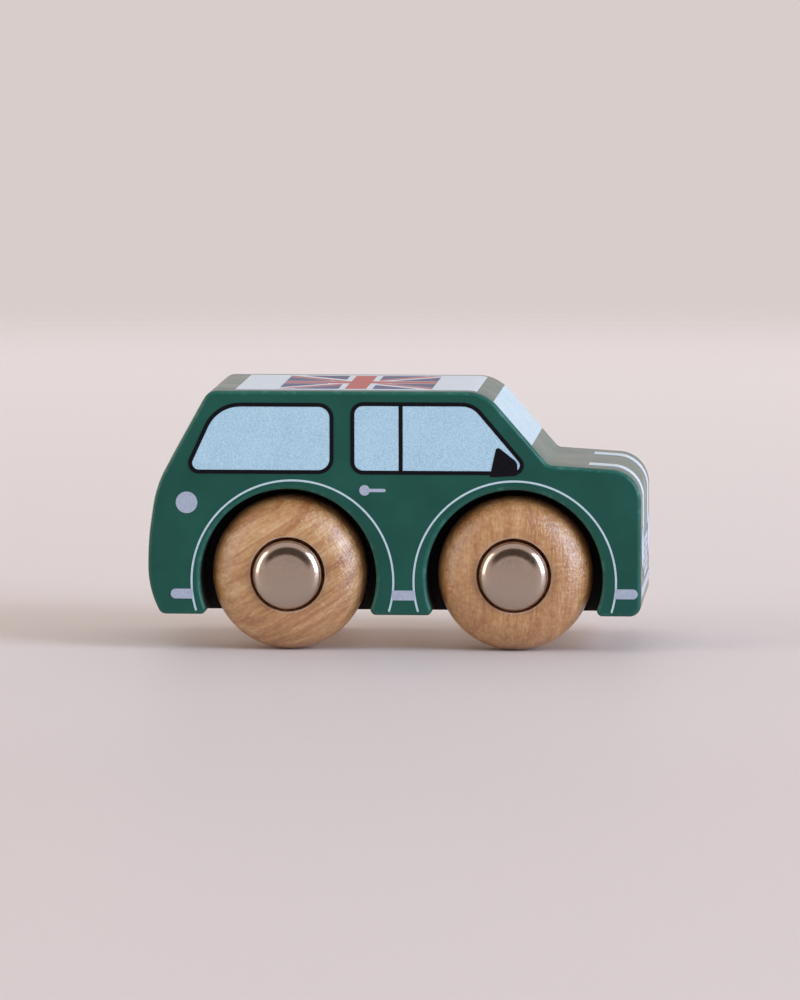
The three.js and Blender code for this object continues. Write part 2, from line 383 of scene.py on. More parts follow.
@dataclass(frozen=True)
class SatinPaint(Finish):
    """Sprayed satin paint on sanded beech.

    The eye sees one even colour with a faint mottle, the wood's long pores just telling through the coat, a soft
    sheen that whitens at low angles, and lighter edges, partly paint wear and partly a painted highlight.
    """

    name: str = "satin_paint_on_beech"
    deep: str = "#174b40"
    paler: str = "#1c5347"
    rub_and_highlight_colour: str = "#4c8a7d"
    mottle_mm: float = 7.0
    pore_mm: float = 0.5
    pore_pull: float = 0.05
    pore_share: float = 0.6
    peel_mm: float = 0.9
    rub_and_highlight_mm: float = 1.3
    rub_and_highlight_span: Pair = (0.5, 0.75)
    rub_and_highlight_share: Pair = (0.14, 0.55)
    relief_mm: float = 0.02
    roughness: Pair = (0.18, 0.25)
    specular: float = 0.2

    def dress(self, tree: bpy.types.NodeTree, shader: bpy.types.Node) -> None:
        """Mottle in the colour, paint wear and a painted highlight along the edges, pores and spray texture in the
        bump.

        Args:
            tree: The material's tree.
            shader: Its shader.
        """
        where = add_node(tree, "TexCoord", output="Object")
        along = add_node(tree, "Mapping", {"Vector": where, "Scale": (self.pore_pull, 1.0, 1.0)})
        mottle, rub_and_highlight, pores, peel = (
            add_node(tree, "TexNoise", {"Vector": place, "Scale": per_mm(size), "Detail": detail})
            for place, size, detail in (
                (where, self.mottle_mm, 4.0),
                (where, self.rub_and_highlight_mm, 3.0),
                (along, self.pore_mm, 2.0),
                (where, self.peel_mm, 1.0),
            )
        )
        coat = add_node(tree, "ValToRGB", {"Fac": mottle}, ramp=zip(NOISE_SPAN, (self.deep, self.paler)))
        # Along the rounded edges the paint is mixed in patches towards a lighter teal: partly paint wear, partly a
        # painted highlight.
        edge = add_node(tree, "Attribute", output="Fac", attribute_name="edge")
        span = (rub_and_highlight, *self.rub_and_highlight_span, *self.rub_and_highlight_share)
        patchy = add_node(tree, "MapRange", span, interpolation_type="SMOOTHSTEP")
        worn_and_highlit = add_node(tree, "Math", (edge, patchy), operation="MULTIPLY")
        colour = add_node(tree, "Mix", {0: worn_and_highlit, 6: coat, 7: linear(self.rub_and_highlight_colour)}, 2, data_type="RGBA")
        height = add_node(tree, "Math", (pores, self.pore_share, peel), operation="MULTIPLY_ADD")
        bump = add_node(tree, "Bump", {"Height": height, "Strength": 0.18, "Distance": self.relief_mm * MM})
        gloss = add_node(tree, "MapRange", (mottle, *WIDE_NOISE_SPAN, *self.roughness))
        set_inputs(tree, shader, {"Base Color": colour, "Roughness": gloss, "Normal": bump})
        set_inputs(tree, shader, {"Specular IOR Level": self.specular})


@dataclass(frozen=True)
class PatchyWood(Finish):
    """Wood in two tones in patches, matt, bumped by them where it has relief; painted shade in pockets, painted
    light in recesses.
    """

    dark: str
    light: str
    patch_mm: float
    detail: float
    stops: Pair
    roughness: float
    relief_mm: float = 0.0

    def dress(self, tree: bpy.types.NodeTree, shader: bpy.types.Node) -> None:
        """Two tones in patches, which also lift the surface where it has any relief.

        Args:
            tree: The material's tree.
            shader: Its shader.
        """
        where = add_node(tree, "TexCoord", output="Object")
        size = per_mm(self.patch_mm)
        patch = add_node(tree, "TexNoise", {"Vector": where, "Scale": size, "Detail": self.detail})
        colour = add_node(tree, "ValToRGB", {"Fac": patch}, ramp=zip(self.stops, (self.dark, self.light)))
        set_inputs(tree, shader, {"Base Color": colour, "Roughness": self.roughness})
        if self.relief_mm:
            bump = add_node(tree, "Bump", {"Height": patch, "Strength": 0.4, "Distance": self.relief_mm * MM})
            set_inputs(tree, shader, {"Normal": bump})


@dataclass(frozen=True)
class PrintInk(Finish):
    """Pad-printed ink: an even film whose dots show as a fine speckle, a little glossier than the paint."""

    dark: str
    light: str
    speck_mm: float = 0.25
    cloud_mm: float = 5.0
    roughness: float = 0.21
    specular: float = 0.2
    cloud_share: float = 0.25
    tone_span: Pair = (0.44, 0.82)
    relief_mm: float = 0.01

    def dress(self, tree: bpy.types.NodeTree, shader: bpy.types.Node) -> None:
        """A speckle on a faint cloud, between two tones of the ink.

        Args:
            tree: The material's tree.
            shader: Its shader.
        """
        where = add_node(tree, "TexCoord", output="Object")
        speck, cloud = (
            add_node(tree, "TexNoise", {"Vector": where, "Scale": per_mm(size), "Detail": detail})
            for size, detail in ((self.speck_mm, 1.5), (self.cloud_mm, 2.0))
        )
        tone = add_node(tree, "Math", (cloud, self.cloud_share, speck), operation="MULTIPLY_ADD")
        colour = add_node(tree, "ValToRGB", {"Fac": tone}, ramp=zip(self.tone_span, (self.dark, self.light)))
        bump = add_node(tree, "Bump", {"Height": speck, "Strength": 0.2, "Distance": self.relief_mm * MM})
        set_inputs(tree, shader, {"Base Color": colour, "Normal": bump})
        set_inputs(tree, shader, {"Roughness": self.roughness, "Specular IOR Level": self.specular})


@dataclass(frozen=True)
class GrainCut:
    """A wheel's place in its board: the grain's angle in degrees, how much each mark shows and how dark it is."""

    angle: float
    bands: float
    line_mm: float
    lines: float
    rays: float
    shade: float = 0.0


@dataclass(frozen=True)
class TurnedBeech(Finish):
    """Beech turned on a lathe and lightly waxed.

    The eye sees soft bands of growth along the grain, thin dark growth lines, fine fibres, short flecks, faint
    turning marks and a waxy sheen that the flecks and rays break into glints. The rounded lip round the recess is
    mixed towards a pale colour, a painted highlight. Each wheel is cut at its own angle to the grain, round its
    own centre.
    """

    cut: GrainCut
    centre: Triple
    tilt: float = 0.35
    dark: str = "#996232"
    mid: str = "#b98852"
    pale: str = "#d0aa7a"
    ring: str = "#96521f"
    # The pale colour of the painted highlight on the recess's rounded lip.
    lip: str = "#ead6c2"
    band_mm: float = 1.7
    fibre_mm: float = 0.28
    ray_mm: float = 0.5
    fleck_mm: float = 0.34
    turning_mm: float = 0.36
    relief_mm: float = 0.04
    wax_mm: float = 0.17
    fibre_share: float = 0.35
    fleck_share: float = 0.3
    turning_relief: float = 0.2
    ray_relief: float = 0.7
    lip_highlight_share: float = 0.4
    contrast: float = 0.2
    line_reach: float = 0.03
    roughness: Pair = (0.34, 0.6)
    wax_roughness: float = 0.42
    wax_ior: float = 1.65

    def dress(self, tree: bpy.types.NodeTree, shader: bpy.types.Node) -> None:
        """Bands, growth lines and fibres along the grain, and ray flecks across it that show in the sheen.

        The grain runs along the first axis of coordinates that are centred on the wheel and turned about its axle.
        A growth line is where a drawn-out noise passes its middle value.

        Args:
            tree: The material's tree.
            shader: Its shader.
        """
        where = add_node(tree, "TexCoord", output="Object")
        turn = (self.tilt, -math.radians(self.cut.angle), 0.0)
        lie = {"Vector": where, "Location": self.centre, "Rotation": turn}
        turned = add_node(tree, "Mapping", lie, vector_type="TEXTURE")
        noises = {}
        for part, stretch, size, detail in (
            ("band", (0.15, 0.5, 1.0), self.band_mm, 3.0),
            ("line", (0.03, 0.4, 1.0), self.cut.line_mm, 1.0),
            ("fibre", (0.04, 0.5, 1.0), self.fibre_mm, 3.0),
            ("ray", (1.0, 0.5, 0.3), self.ray_mm, 2.0),
            ("fleck", (0.5, 0.5, 1.0), self.fleck_mm, 1.0),
        ):
            pulled = add_node(tree, "Mapping", {"Vector": turned, "Scale": stretch})
            noises[part] = add_node(tree, "TexNoise", {"Vector": pulled, "Scale": per_mm(size), "Detail": detail})

        tone = add_node(tree, "Math", (noises["band"], self.cut.bands), operation="MULTIPLY")
        shares = {"fibre": self.fibre_share, "ray": self.cut.rays, "fleck": self.fleck_share}
        for part, share in shares.items():
            tone = add_node(tree, "Math", (noises[part], share, tone), operation="MULTIPLY_ADD")
        level = 0.5 * (self.cut.bands + sum(shares.values())) + self.cut.shade
        stops = ((level - self.contrast, self.dark), (level + self.contrast, self.pale), (level, self.mid))
        colour = add_node(tree, "ValToRGB", {"Fac": tone}, ramp=stops)
        off = add_node(tree, "Math", (noises["line"], 0.5), operation="SUBTRACT")
        off = add_node(tree, "Math", (off,), operation="ABSOLUTE")
        line = add_node(tree, "MapRange", (off, 0.0, self.line_reach, self.cut.lines, 0.0))
        # The recess's rounded lip is mixed towards the pale colour: a painted highlight.
        edge = add_node(tree, "Attribute", output="Fac", attribute_name="edge")
        paler = add_node(tree, "Math", (edge, self.lip_highlight_share), operation="MULTIPLY")
        for share, tint in ((line, self.ring), (paler, self.lip)):
            colour = add_node(tree, "Mix", {0: share, 6: colour, 7: linear(tint)}, 2, data_type="RGBA")

        lie = {"Vector": turned, "Scale": per_mm(self.turning_mm) * WAVE_PERIOD, "Distortion": 1.5}
        marks = add_node(tree, "TexWave", lie, "Fac", wave_type="RINGS", rings_direction="Y")
        relief = noises["fibre"]
        for mark, share in ((marks, self.turning_relief), (noises["ray"], self.ray_relief)):
            relief = add_node(tree, "Math", (mark, share, relief), operation="MULTIPLY_ADD")
        wax = add_node(tree, "Math", (noises["fleck"], noises["ray"]), operation="ADD")
        bump, glints = (
            add_node(tree, "Bump", {"Height": height, "Strength": strength, "Distance": depth * MM})
            for height, strength, depth in ((relief, 0.8, self.relief_mm), (wax, 1.0, self.wax_mm))
        )
        gloss = add_node(tree, "MapRange", (noises["ray"], *NOISE_SPAN, *self.roughness))
        set_inputs(tree, shader, {"Base Color": colour, "Roughness": gloss, "Normal": bump})
        set_inputs(tree, shader, {"Coat Weight": 1.0, "Coat Normal": glints})
        set_inputs(tree, shader, {"Coat Roughness": self.wax_roughness, "Coat IOR": self.wax_ior})


@dataclass(frozen=True)
class BrightMetal(Finish):
    """Bright metal: a clear mirror, slightly blurred, with fine handling marks that vary its gloss."""

    colour: str
    smooth: float
    dull: float
    mark_mm: float
    stretch: Triple = (1.0, 1.0, 1.0)
    relief_mm: float = 0.01

    def dress(self, tree: bpy.types.NodeTree, shader: bpy.types.Node) -> None:
        """Marks that make the metal a little duller and lift it by a trace.

        Args:
            tree: The material's tree.
            shader: Its shader.
        """
        where = add_node(tree, "TexCoord", output="Object")
        pulled = add_node(tree, "Mapping", {"Vector": where, "Scale": self.stretch})
        mark = add_node(tree, "TexNoise", {"Vector": pulled, "Scale": per_mm(self.mark_mm), "Detail": 4.0})
        gloss = add_node(tree, "MapRange", (mark, *NOISE_SPAN, self.smooth, self.dull))
        bump = add_node(tree, "Bump", {"Height": mark, "Strength": 0.08, "Distance": self.relief_mm * MM})
        set_inputs(tree, shader, {"Base Color": linear(self.colour), "Metallic": 1.0})
        set_inputs(tree, shader, {"Roughness": gloss, "Normal": bump})


@dataclass(frozen=True)
class PaleTable(Finish):
    """A matt pale table top with a fine grain, lighter at its far side as painted light, whose rim fades away."""

    name: str = "pale_table"
    near: str = "#ccc3c1"
    far: str = "#dfdada"
    depth_span: Pair = (-0.175, 0.525)
    clear: float = 0.58
    radius: float = 0.775
    speck_mm: float = 0.6
    relief_mm: float = 0.06
    roughness: float = 0.5
    specular: float = 0.12

    def dress(self, tree: bpy.types.NodeTree, shader: bpy.types.Node) -> None:
        """A tone that grows lighter with the distance from the camera, a painted light, and opacity that falls
        towards the rim.

        Args:
            tree: The material's tree.
            shader: Its shader.
        """
        where = add_node(tree, "TexCoord", output="Object")
        speck = add_node(tree, "TexNoise", {"Vector": where, "Scale": per_mm(self.speck_mm), "Detail": 3.0})
        bump = add_node(tree, "Bump", {"Height": speck, "Strength": 0.5, "Distance": self.relief_mm * MM})
        # The far side is painted lighter than the near side: painted light.
        depth = add_node(tree, "SeparateXYZ", (where,), "Y")
        back = add_node(tree, "MapRange", (depth, *self.depth_span, 0.0, 1.0))
        tones = {0: back, 6: linear(self.near), 7: linear(self.far)}
        colour = add_node(tree, "Mix", tones, 2, data_type="RGBA")
        away = add_node(tree, "VectorMath", (where,), "Value", operation="LENGTH")
        span = (away, self.clear, self.radius, 1.0, 0.0)
        fade = add_node(tree, "MapRange", span, interpolation_type="SMOOTHSTEP")
        set_inputs(tree, shader, {"Base Color": colour, "Normal": bump, "Alpha": fade})
        set_inputs(tree, shader, {"Roughness": self.roughness, "Specular IOR Level": self.specular})


GREEN_PAINT = SatinPaint()
# Near-black painted shade in the wheel pockets, which are painted green like the rest of the block.
POCKET_PAINTED_SHADE = PatchyWood("dark_stain_in_pockets", "#0b0a0a", "#161312", 1.5, 4.0, WIDE_NOISE_SPAN, 0.8, 0.1)
WINDOW_INK = PrintInk("window_blue_ink", "#9bbfd0", "#b8d6e4")
FRAME_INK = PrintInk("frame_black_ink", "#08080e", "#101018", specular=0.12)
TRIM_INK = PrintInk("trim_silver_ink", "#9aa3b4", "#afb8c8")
LINE_INK = PrintInk("line_silver_ink", "#b0c6cc", "#c0d5da")
SLAT_INK = PrintInk("grille_grey_ink", "#6f747c", "#80858d")
WHITE_INK = PrintInk("roof_white_ink", "#bacad6", "#c9d7e1", roughness=0.3)
RED_INK = PrintInk("flag_red_ink", "#9f3732", "#af4640", roughness=0.34)
BLUE_INK = PrintInk("flag_blue_ink", "#2a2f5f", "#363c70", roughness=0.34)
LAMP_INK = PrintInk("tail_lamp_red_ink", "#8f2420", "#a5332c")
# A lighter, redder beech on the wheels' recesses: painted light that lifts the shaded gap round each cap.
RECESS_PAINTED_LIGHT = PatchyWood("scorched_beech", "#b0653f", "#dc9f70", 0.8, 3.0, NOISE_SPAN, 0.7)
NICKEL = BrightMetal("nickel_plated_steel", "#bfad9d", 0.12, 0.19, 0.45)
AXLE_STEEL = BrightMetal("drawn_bright_steel", "#a8a8a6", 0.25, 0.38, 0.4, (1.0, 0.05, 1.0))
NUT_STEEL = BrightMetal("spring_steel", "#6d6d70", 0.35, 0.5, 0.5)
TABLE_TOP = PaleTable()


@dataclass(frozen=True)
class Plane:
    """A flat face of the block: a point on it, two directions in it and the one that leaves it."""

    origin: Triple
    across: Triple
    up: Triple
    out: Triple

    def lift(self, flat: np.ndarray, height: float) -> np.ndarray:
        """The face's own points, carried off it by a height."""
        base = np.array(self.origin) + height * np.array(self.out)
        return base + flat @ np.array([self.across, self.up])


@dataclass(frozen=True)
class Girth:
    """The block's outline from the foot of its front over the roof to the foot of its rear, read by its length."""

    curve: Curve

    def lengths(self) -> np.ndarray:
        """How far along the outline each of its points lies."""
        steps = np.linalg.norm(np.diff(self.curve.points, axis=0), axis=1)
        return np.concatenate([[0.0], np.cumsum(steps)])

    def at(self, length: np.ndarray, height: float) -> np.ndarray:
        """Points at lengths along the outline and at a height over it.

        Args:
            length: The lengths.
            height: The height along the normal.

        Returns:
            The points' X and Z, each the outline's point plus the height times its normal.
        """
        known = self.lengths()
        columns = np.concatenate([self.curve.points, self.curve.normals], axis=1).T
        x, z, nx, nz = (np.interp(length, known, column) for column in columns)
        return np.stack([x + height * nx, z + height * nz], axis=-1)

    def near(self, x: float, z: float) -> float:
        """The length at which the outline comes closest to a point."""
        tries = np.arange(0.0, self.lengths()[-1], NEAR_STEP)
        return float(tries[np.argmin(np.linalg.norm(self.at(tries, 0.0) - (x, z), axis=1))])


def add_slab(shell: Shell, plane: Plane, loop: np.ndarray, height: float, finish: int = 0) -> None:
    """Adds a film with a closed outline: the loop at two heights, a wall between them and a face on each.

    Args:
        shell: The shell that it joins.
        plane: The face that it lies on.
        loop: Its outline on that face.
        height: How far it stands off the face.
        finish: The number of its finish.
    """
    count = len(loop)
    points = np.concatenate([plane.lift(loop, -SUNK), plane.lift(loop, height)])
    ends = (np.arange(count)[::-1], np.arange(count, 2 * count))
    shell.add(points, quads(2, count, close_columns=True), ends, finish)


def add_rail(shell: Shell, corners: np.ndarray, closed: bool) -> None:
    """Adds a film of four-sided section that is carried along a path.

    Args:
        shell: The shell that it joins.
        corners: The section's four corners at each station, as an array of 4 by stations by 3.
        closed: Whether the path comes back to its start; otherwise each end gets a face.
    """
    stations = corners.shape[1]
    cells = quads(4, stations, close_rows=True, close_columns=closed)
    if not closed:
        first = np.arange(4) * stations
        cells = np.concatenate([cells, [first, (first + stations - 1)[::-1]]])
    shell.add(corners, cells)


def add_band(
    shell: Shell, plane: Plane, outer: np.ndarray, inner: np.ndarray, height: float, closed: bool
) -> None:
    """Adds a film between two lines on a face.

    Args:
        shell: The shell that it joins.
        plane: The face that it lies on.
        outer: One line's points.
        inner: The other's, as many.
        height: How far it stands off the face.
        closed: Whether the lines are loops.
    """
    section = ((outer, -SUNK), (outer, height), (inner, height), (inner, -SUNK))
    add_rail(shell, np.stack([plane.lift(line, lift) for line, lift in section]), closed)


def add_strip(shell: Shell, girth: Girth, span: Sequence[float], y_span: Sequence[float]) -> None:
    """Adds one coat of ink that follows the block's outline.

    Args:
        shell: The shell that it joins.
        girth: The outline.
        span: The lengths along the outline where it begins and ends.
        y_span: Its two edges across the car.
    """
    stations = np.linspace(*span, max(2, math.ceil(abs(span[1] - span[0]) / STRIP_STEP) + 1))
    low, high = girth.at(stations, -SUNK), girth.at(stations, COAT)
    section = ((low, y_span[0]), (high, y_span[0]), (high, y_span[1]), (low, y_span[1]))
    add_rail(shell, np.stack([across_car(line, y) for line, y in section]), False)


@dataclass
class Block:
    """The milled block: one side view carried across the car, blind wheel arches in both sides, rounded edges.

    Its length, width, height and ground clearance come from the frame, and so do the axles' places.
    """

    arris: float = 0.7
    arch_radius: float = 13.4
    arch_drop: float = 0.5
    arch_lip: float = 0.85
    pocket_depth: float = 8.6
    bore: float = 2.25
    scuttle_over_arch: float = 3.85
    bonnet_length: float = 14.1
    bonnet_fall: float = 3.7
    windscreen_lean: float = 41.0
    tailgate_lean: float = 29.0
    rear_panel_lean: float = 8.4
    tuck_lean: float = 25.0
    tuck_height: float = 4.1
    waist_height: float = 11.2
    shoulder_drop: float = 14.5
    flat_rim: float = 0.1
    corner_radii: tuple[float, ...] = (1.3, 1.8, 4.8, 1.5, 6.0, 2.2, 17.0, 44.0, 14.5)
    arris_steps: int = 6
    foot_steps: int = 16

    def __post_init__(self) -> None:
        """Takes the block's box and the axles' places from the frame."""
        self.low, self.high = box_mm("body_block")
        self.axles = {end: sum(box_mm(f"axle_{end.value}")) / 2 for end in End}
        self.half = float(self.high[1])
        self.floor = self.half - self.pocket_depth

    def corners(self) -> list[Curve]:
        """The outline's rounded corners from the rear's foot, anticlockwise, without the wheel arches."""
        rear, front, ground, roof = self.low[0], self.high[0], self.low[2], self.high[2]
        leans = (self.tuck_lean, self.windscreen_lean, self.tailgate_lean, self.rear_panel_lean, self.bonnet_fall)
        tuck, windscreen, tailgate, panel, fall = np.tan(np.radians(leans))
        scuttle = self.axles[End.FRONT][2] - self.arch_drop + self.arch_radius + self.scuttle_over_arch
        shoulder, waist = roof - self.shoulder_drop, ground + self.waist_height
        shoulder_x = rear + (shoulder - waist) * panel
        screen_foot = front - self.bonnet_length
        corners = (
            (rear + self.tuck_height * tuck, ground),
            (front, ground),
            (front, scuttle - self.bonnet_length * fall),
            (screen_foot, scuttle),
            (screen_foot - (roof - scuttle) * windscreen, roof),
            (shoulder_x + self.shoulder_drop * tailgate, roof),
            (shoulder_x, shoulder),
            (rear, waist),
            (rear, ground + self.tuck_height),
        )
        return rounded(np.column_stack([corners, self.corner_radii]), ARC_STEP)

    def mouth(self, end: End) -> Curve:
        """A wheel arch from one lip over its crown to the other.

        Each lip is an arc that touches the underside and the crown, which is a hollow arc round the arch's centre.

        Args:
            end: The end of the car.

        Returns:
            The mouth's points along X, and their normals.
        """
        x, _, axle = self.axles[end]
        centre = axle - self.arch_drop
        lip = self.low[2] + self.arch_lip
        reach = math.sqrt((self.arch_radius + self.arch_lip) ** 2 - (centre - lip) ** 2)
        lean = math.atan2(centre - lip, reach)
        down = math.pi / 2
        return joined(
            (
                arc((x - reach, lip), self.arch_lip, -down, lean, FINE_STEP),
                arc((x, centre), -self.arch_radius, lean, -math.pi - lean),
                arc((x + reach, lip), self.arch_lip, -math.pi - lean, -down, FINE_STEP),
            )
        )

    def girth(self) -> Girth:
        """The outline above the underside, from the front round to the rear."""
        return Girth(joined(self.corners()[1:]))

    def shell(self) -> Shell:
        """The block's surface.

        Each ring is the outline drawn in by arris times one less the sine of an angle, at arris times one less the
        cosine of that angle inside the car's flat side, so that the rings make a quarter round between the two.
        Behind the arris the outline runs straight across the car, and in an arch to the pocket's floor. A floor is
        a grid from the bore's circle to the arch's edge, at the same angles round the axle.

        Returns:
            The closed shell, with the paint as finish 0 and the pockets' near-black painted shade as finish 1.
        """
        first, *others = self.corners()
        mouths = {end: self.mouth(end) for end in End}
        outline = joined([first, *mouths.values(), *others])
        count = len(outline.points)
        starts = dict(zip(End, np.cumsum([len(first.points), len(mouths[End.REAR].points)])))
        in_arch = np.zeros(count, bool)
        for end, start in starts.items():
            in_arch[start : start + len(mouths[end].points) - 1] = True

        swing = np.linspace(0.0, math.pi / 2, self.arris_steps + 1)
        drawn = np.concatenate([[self.arris + self.flat_rim], self.arris * (1 - np.sin(swing)), [0.0]])
        out = np.concatenate([[self.half], self.half - self.arris * (1 - np.cos(swing)), [self.floor]])
        # How far each ring takes the paint's lighter edge colour, partly paint wear and partly a painted
        # highlight, most halfway round the arris.
        rub_and_highlight = np.concatenate([[0.0], np.sin(2 * swing), [0.0]])
        rings = outline.points - drawn[:, None, None] * outline.normals
        cells = quads(len(drawn), count, close_columns=True)
        finish = np.zeros(len(cells), int)
        # The pockets' walls take finish 1, the near-black painted shade.
        finish[-count:][in_arch] = 1

        shell = Shell()
        edge = np.repeat(rub_and_highlight, count)
        for side in Side:
            shell.add(across_car(rings, side.value * out[:, None]), cells, (np.arange(count),), finish, edge)
        walls = np.array([-self.floor, self.floor])[:, None]
        core = np.broadcast_to(outline.points, (2, count, 2))
        shell.add(across_car(core, walls), quads(2, count, close_columns=True)[~in_arch])
        for end in End:
            self.add_pocket(shell, mouths[end].points, self.axles[end][[0, 2]], walls)
        return shell

    def add_pocket(self, shell: Shell, mouth: np.ndarray, axle: np.ndarray, walls: np.ndarray) -> None:
        """Adds the floors of a pair of pockets, the strip of underside between them and the axle's bore.

        Args:
            shell: The block's shell.
            mouth: The arch's edge in the side view.
            axle: The axle's place in the side view.
            walls: The two floors' distances from the middle plane, as a column.
        """
        foot = np.linspace(mouth[-1], mouth[0], self.foot_steps)
        edge = np.concatenate([mouth, foot[1:-1]])
        spoke = edge - axle
        bore = axle + self.bore * spoke / np.linalg.norm(spoke, axis=1, keepdims=True)
        ring = quads(2, len(edge), close_columns=True)
        both = np.broadcast_to(foot, (2, *foot.shape))
        shell.add(across_car(both, walls), quads(2, len(foot)))
        # The pockets' floors and the axle's bore take finish 1, the near-black painted shade.
        for wall in walls[:, 0]:
            shell.add(across_car(np.stack([edge, bore]), wall), ring, finish=1)
        shell.add(across_car(np.stack([bore, bore]), walls), ring, finish=1)

    def side_plane(self, side: Side) -> Plane:
        """A flat side of the block, with X across it and Z up."""
        return Plane((0, side.value * self.half, 0), (1, 0, 0), (0, 0, 1), (0, side.value, 0))

    def roof_plane(self) -> Plane:
        """The flat roof, with X across it and Y up."""
        return Plane((0, 0, self.high[2]), (1, 0, 0), (0, 1, 0), (0, 0, 1))

    def nose_plane(self) -> Plane:
        """The flat front, with Y across it and Z up."""
        return Plane((self.high[0], 0, 0), (0, 1, 0), (0, 0, 1), (1, 0, 0))

    def build(self) -> None:
        """Makes the block a piece."""
        self.shell().piece("block", (GREEN_PAINT, POCKET_PAINTED_SHADE), "body", "body_paint", ("body_block",))


@dataclass
class SidePrint:
    """What is printed on one side of the block: two framed windows, a mirror, the arch lines and the trim.

    Every place is (X, Z) in the car's side view.
    """

    block: Block
    side: Side
    frame_width: float = 0.6
    frame_overlap: float = 0.1
    line_width: float = 0.3
    arch_line: float = 15.37
    arch_line_drop: float = 4.55
    trim_height: float = 1.5
    trim_corner: float = 0.05
    handle_radius: float = 0.8
    handle_bar: float = 0.5
    handle_corner: float = 0.02
    handle_tip: float = 0.245
    filler_radius: float = 1.64

    rear_window = ((-31.22, 27.66, 1.0), (-9.76, 27.66, 1.75), (-9.76, 37.28, 1.7), (-26.79, 37.28, 5.4))
    front_window = ((-5.98, 27.63, 1.3), (20.16, 27.63, 0.9), (11.86, 37.43, 3.3), (-5.98, 37.43, 1.3))
    divider = (0.74, 1.36)
    mirror = ((14.55, 26.7, 0.2), (18.75, 26.95, 0.5), (18.72, 29.0, 1.2), (15.6, 31.45, 0.4))
    arch_lines = ((-15.46, 10.71), (18.34, 10.72))
    filler = (-31.55, 22.65)
    handle = (-4.45, 24.61)
    handle_end = -1.24
    rear_trim = (-34.0, 8.72)
    sill_trim = (1.5, 8.63)
    front_trim = (37.0, 9.01)

    def windows_and_frames(self) -> None:
        """The two panes, which run a little under their black frames, the front one's divider and the mirror."""
        panes, frames, plane = Shell(), Shell(), self.block.side_plane(self.side)
        for corners in (self.rear_window, self.front_window):
            pane = joined(rounded(corners))
            add_slab(panes, plane, pane.offset(self.frame_overlap), COAT)
            add_band(frames, plane, pane.offset(self.frame_width), pane.points, SECOND_COAT, True)
        sill, head = (self.front_window[i][1] for i in (0, 2))
        bar = rectangle(*self.divider, sill - self.frame_overlap, head + self.frame_overlap)
        add_slab(frames, plane, bar, SECOND_COAT)
        add_slab(frames, plane, joined(rounded(self.mirror)).points, THIRD_COAT)
        self.finish(panes, "window_print", WINDOW_INK)
        self.finish(frames, "frame_print", FRAME_INK)

    def trim(self) -> None:
        """The silver lines round the arches, the bumper ends, the sill, the filler cap and the door handle.

        An arch line is a band between two circles, from a foot at a depth below its centre to the other.
        """
        shell, lines, plane = Shell(), Shell(), self.block.side_plane(self.side)
        dip = math.asin(self.arch_line_drop / self.arch_line)
        reach = self.arch_line * math.cos(dip / 2)
        for centre in self.arch_lines:
            line = arc(centre, self.arch_line, math.pi + dip, -dip)
            half = self.line_width / 2
            add_band(lines, plane, line.offset(half), line.offset(-half), COAT, False)
        (rear_x, _), (front_x, _) = self.arch_lines
        half = self.trim_height / 2
        for (x, z), start, end in (
            (self.rear_trim, self.rear_trim[0], rear_x - reach),
            (self.sill_trim, rear_x + reach, front_x - reach),
            (self.front_trim, front_x + reach, self.front_trim[0]),
        ):
            radii = [half if place == x else self.trim_corner for place in (start, end, end, start)]
            add_slab(shell, plane, rounded_bar(start, end, z - half, z + half, radii), SECOND_COAT)
        for centre, radius in ((self.filler, self.filler_radius), (self.handle, self.handle_radius)):
            add_slab(shell, plane, arc(centre, radius, 0.0, math.tau - ARC_STEP).points, COAT)
        x, z = self.handle
        half = self.handle_bar / 2
        radii = (self.handle_corner, self.handle_tip, self.handle_tip, self.handle_corner)
        add_slab(shell, plane, rounded_bar(x, self.handle_end, z - half, z + half, radii), SECOND_COAT)
        self.finish(shell, "trim_print", TRIM_INK)
        self.finish(lines, "line_print", LINE_INK)

    def finish(self, shell: Shell, name: str, ink: Finish) -> None:
        """Makes one ink's films a piece of this side."""
        shell.films(f"{name}_{self.side.name.lower()}", ink)

    def build(self) -> None:
        """Prints the side, one ink after another."""
        self.windows_and_frames()
        self.trim()


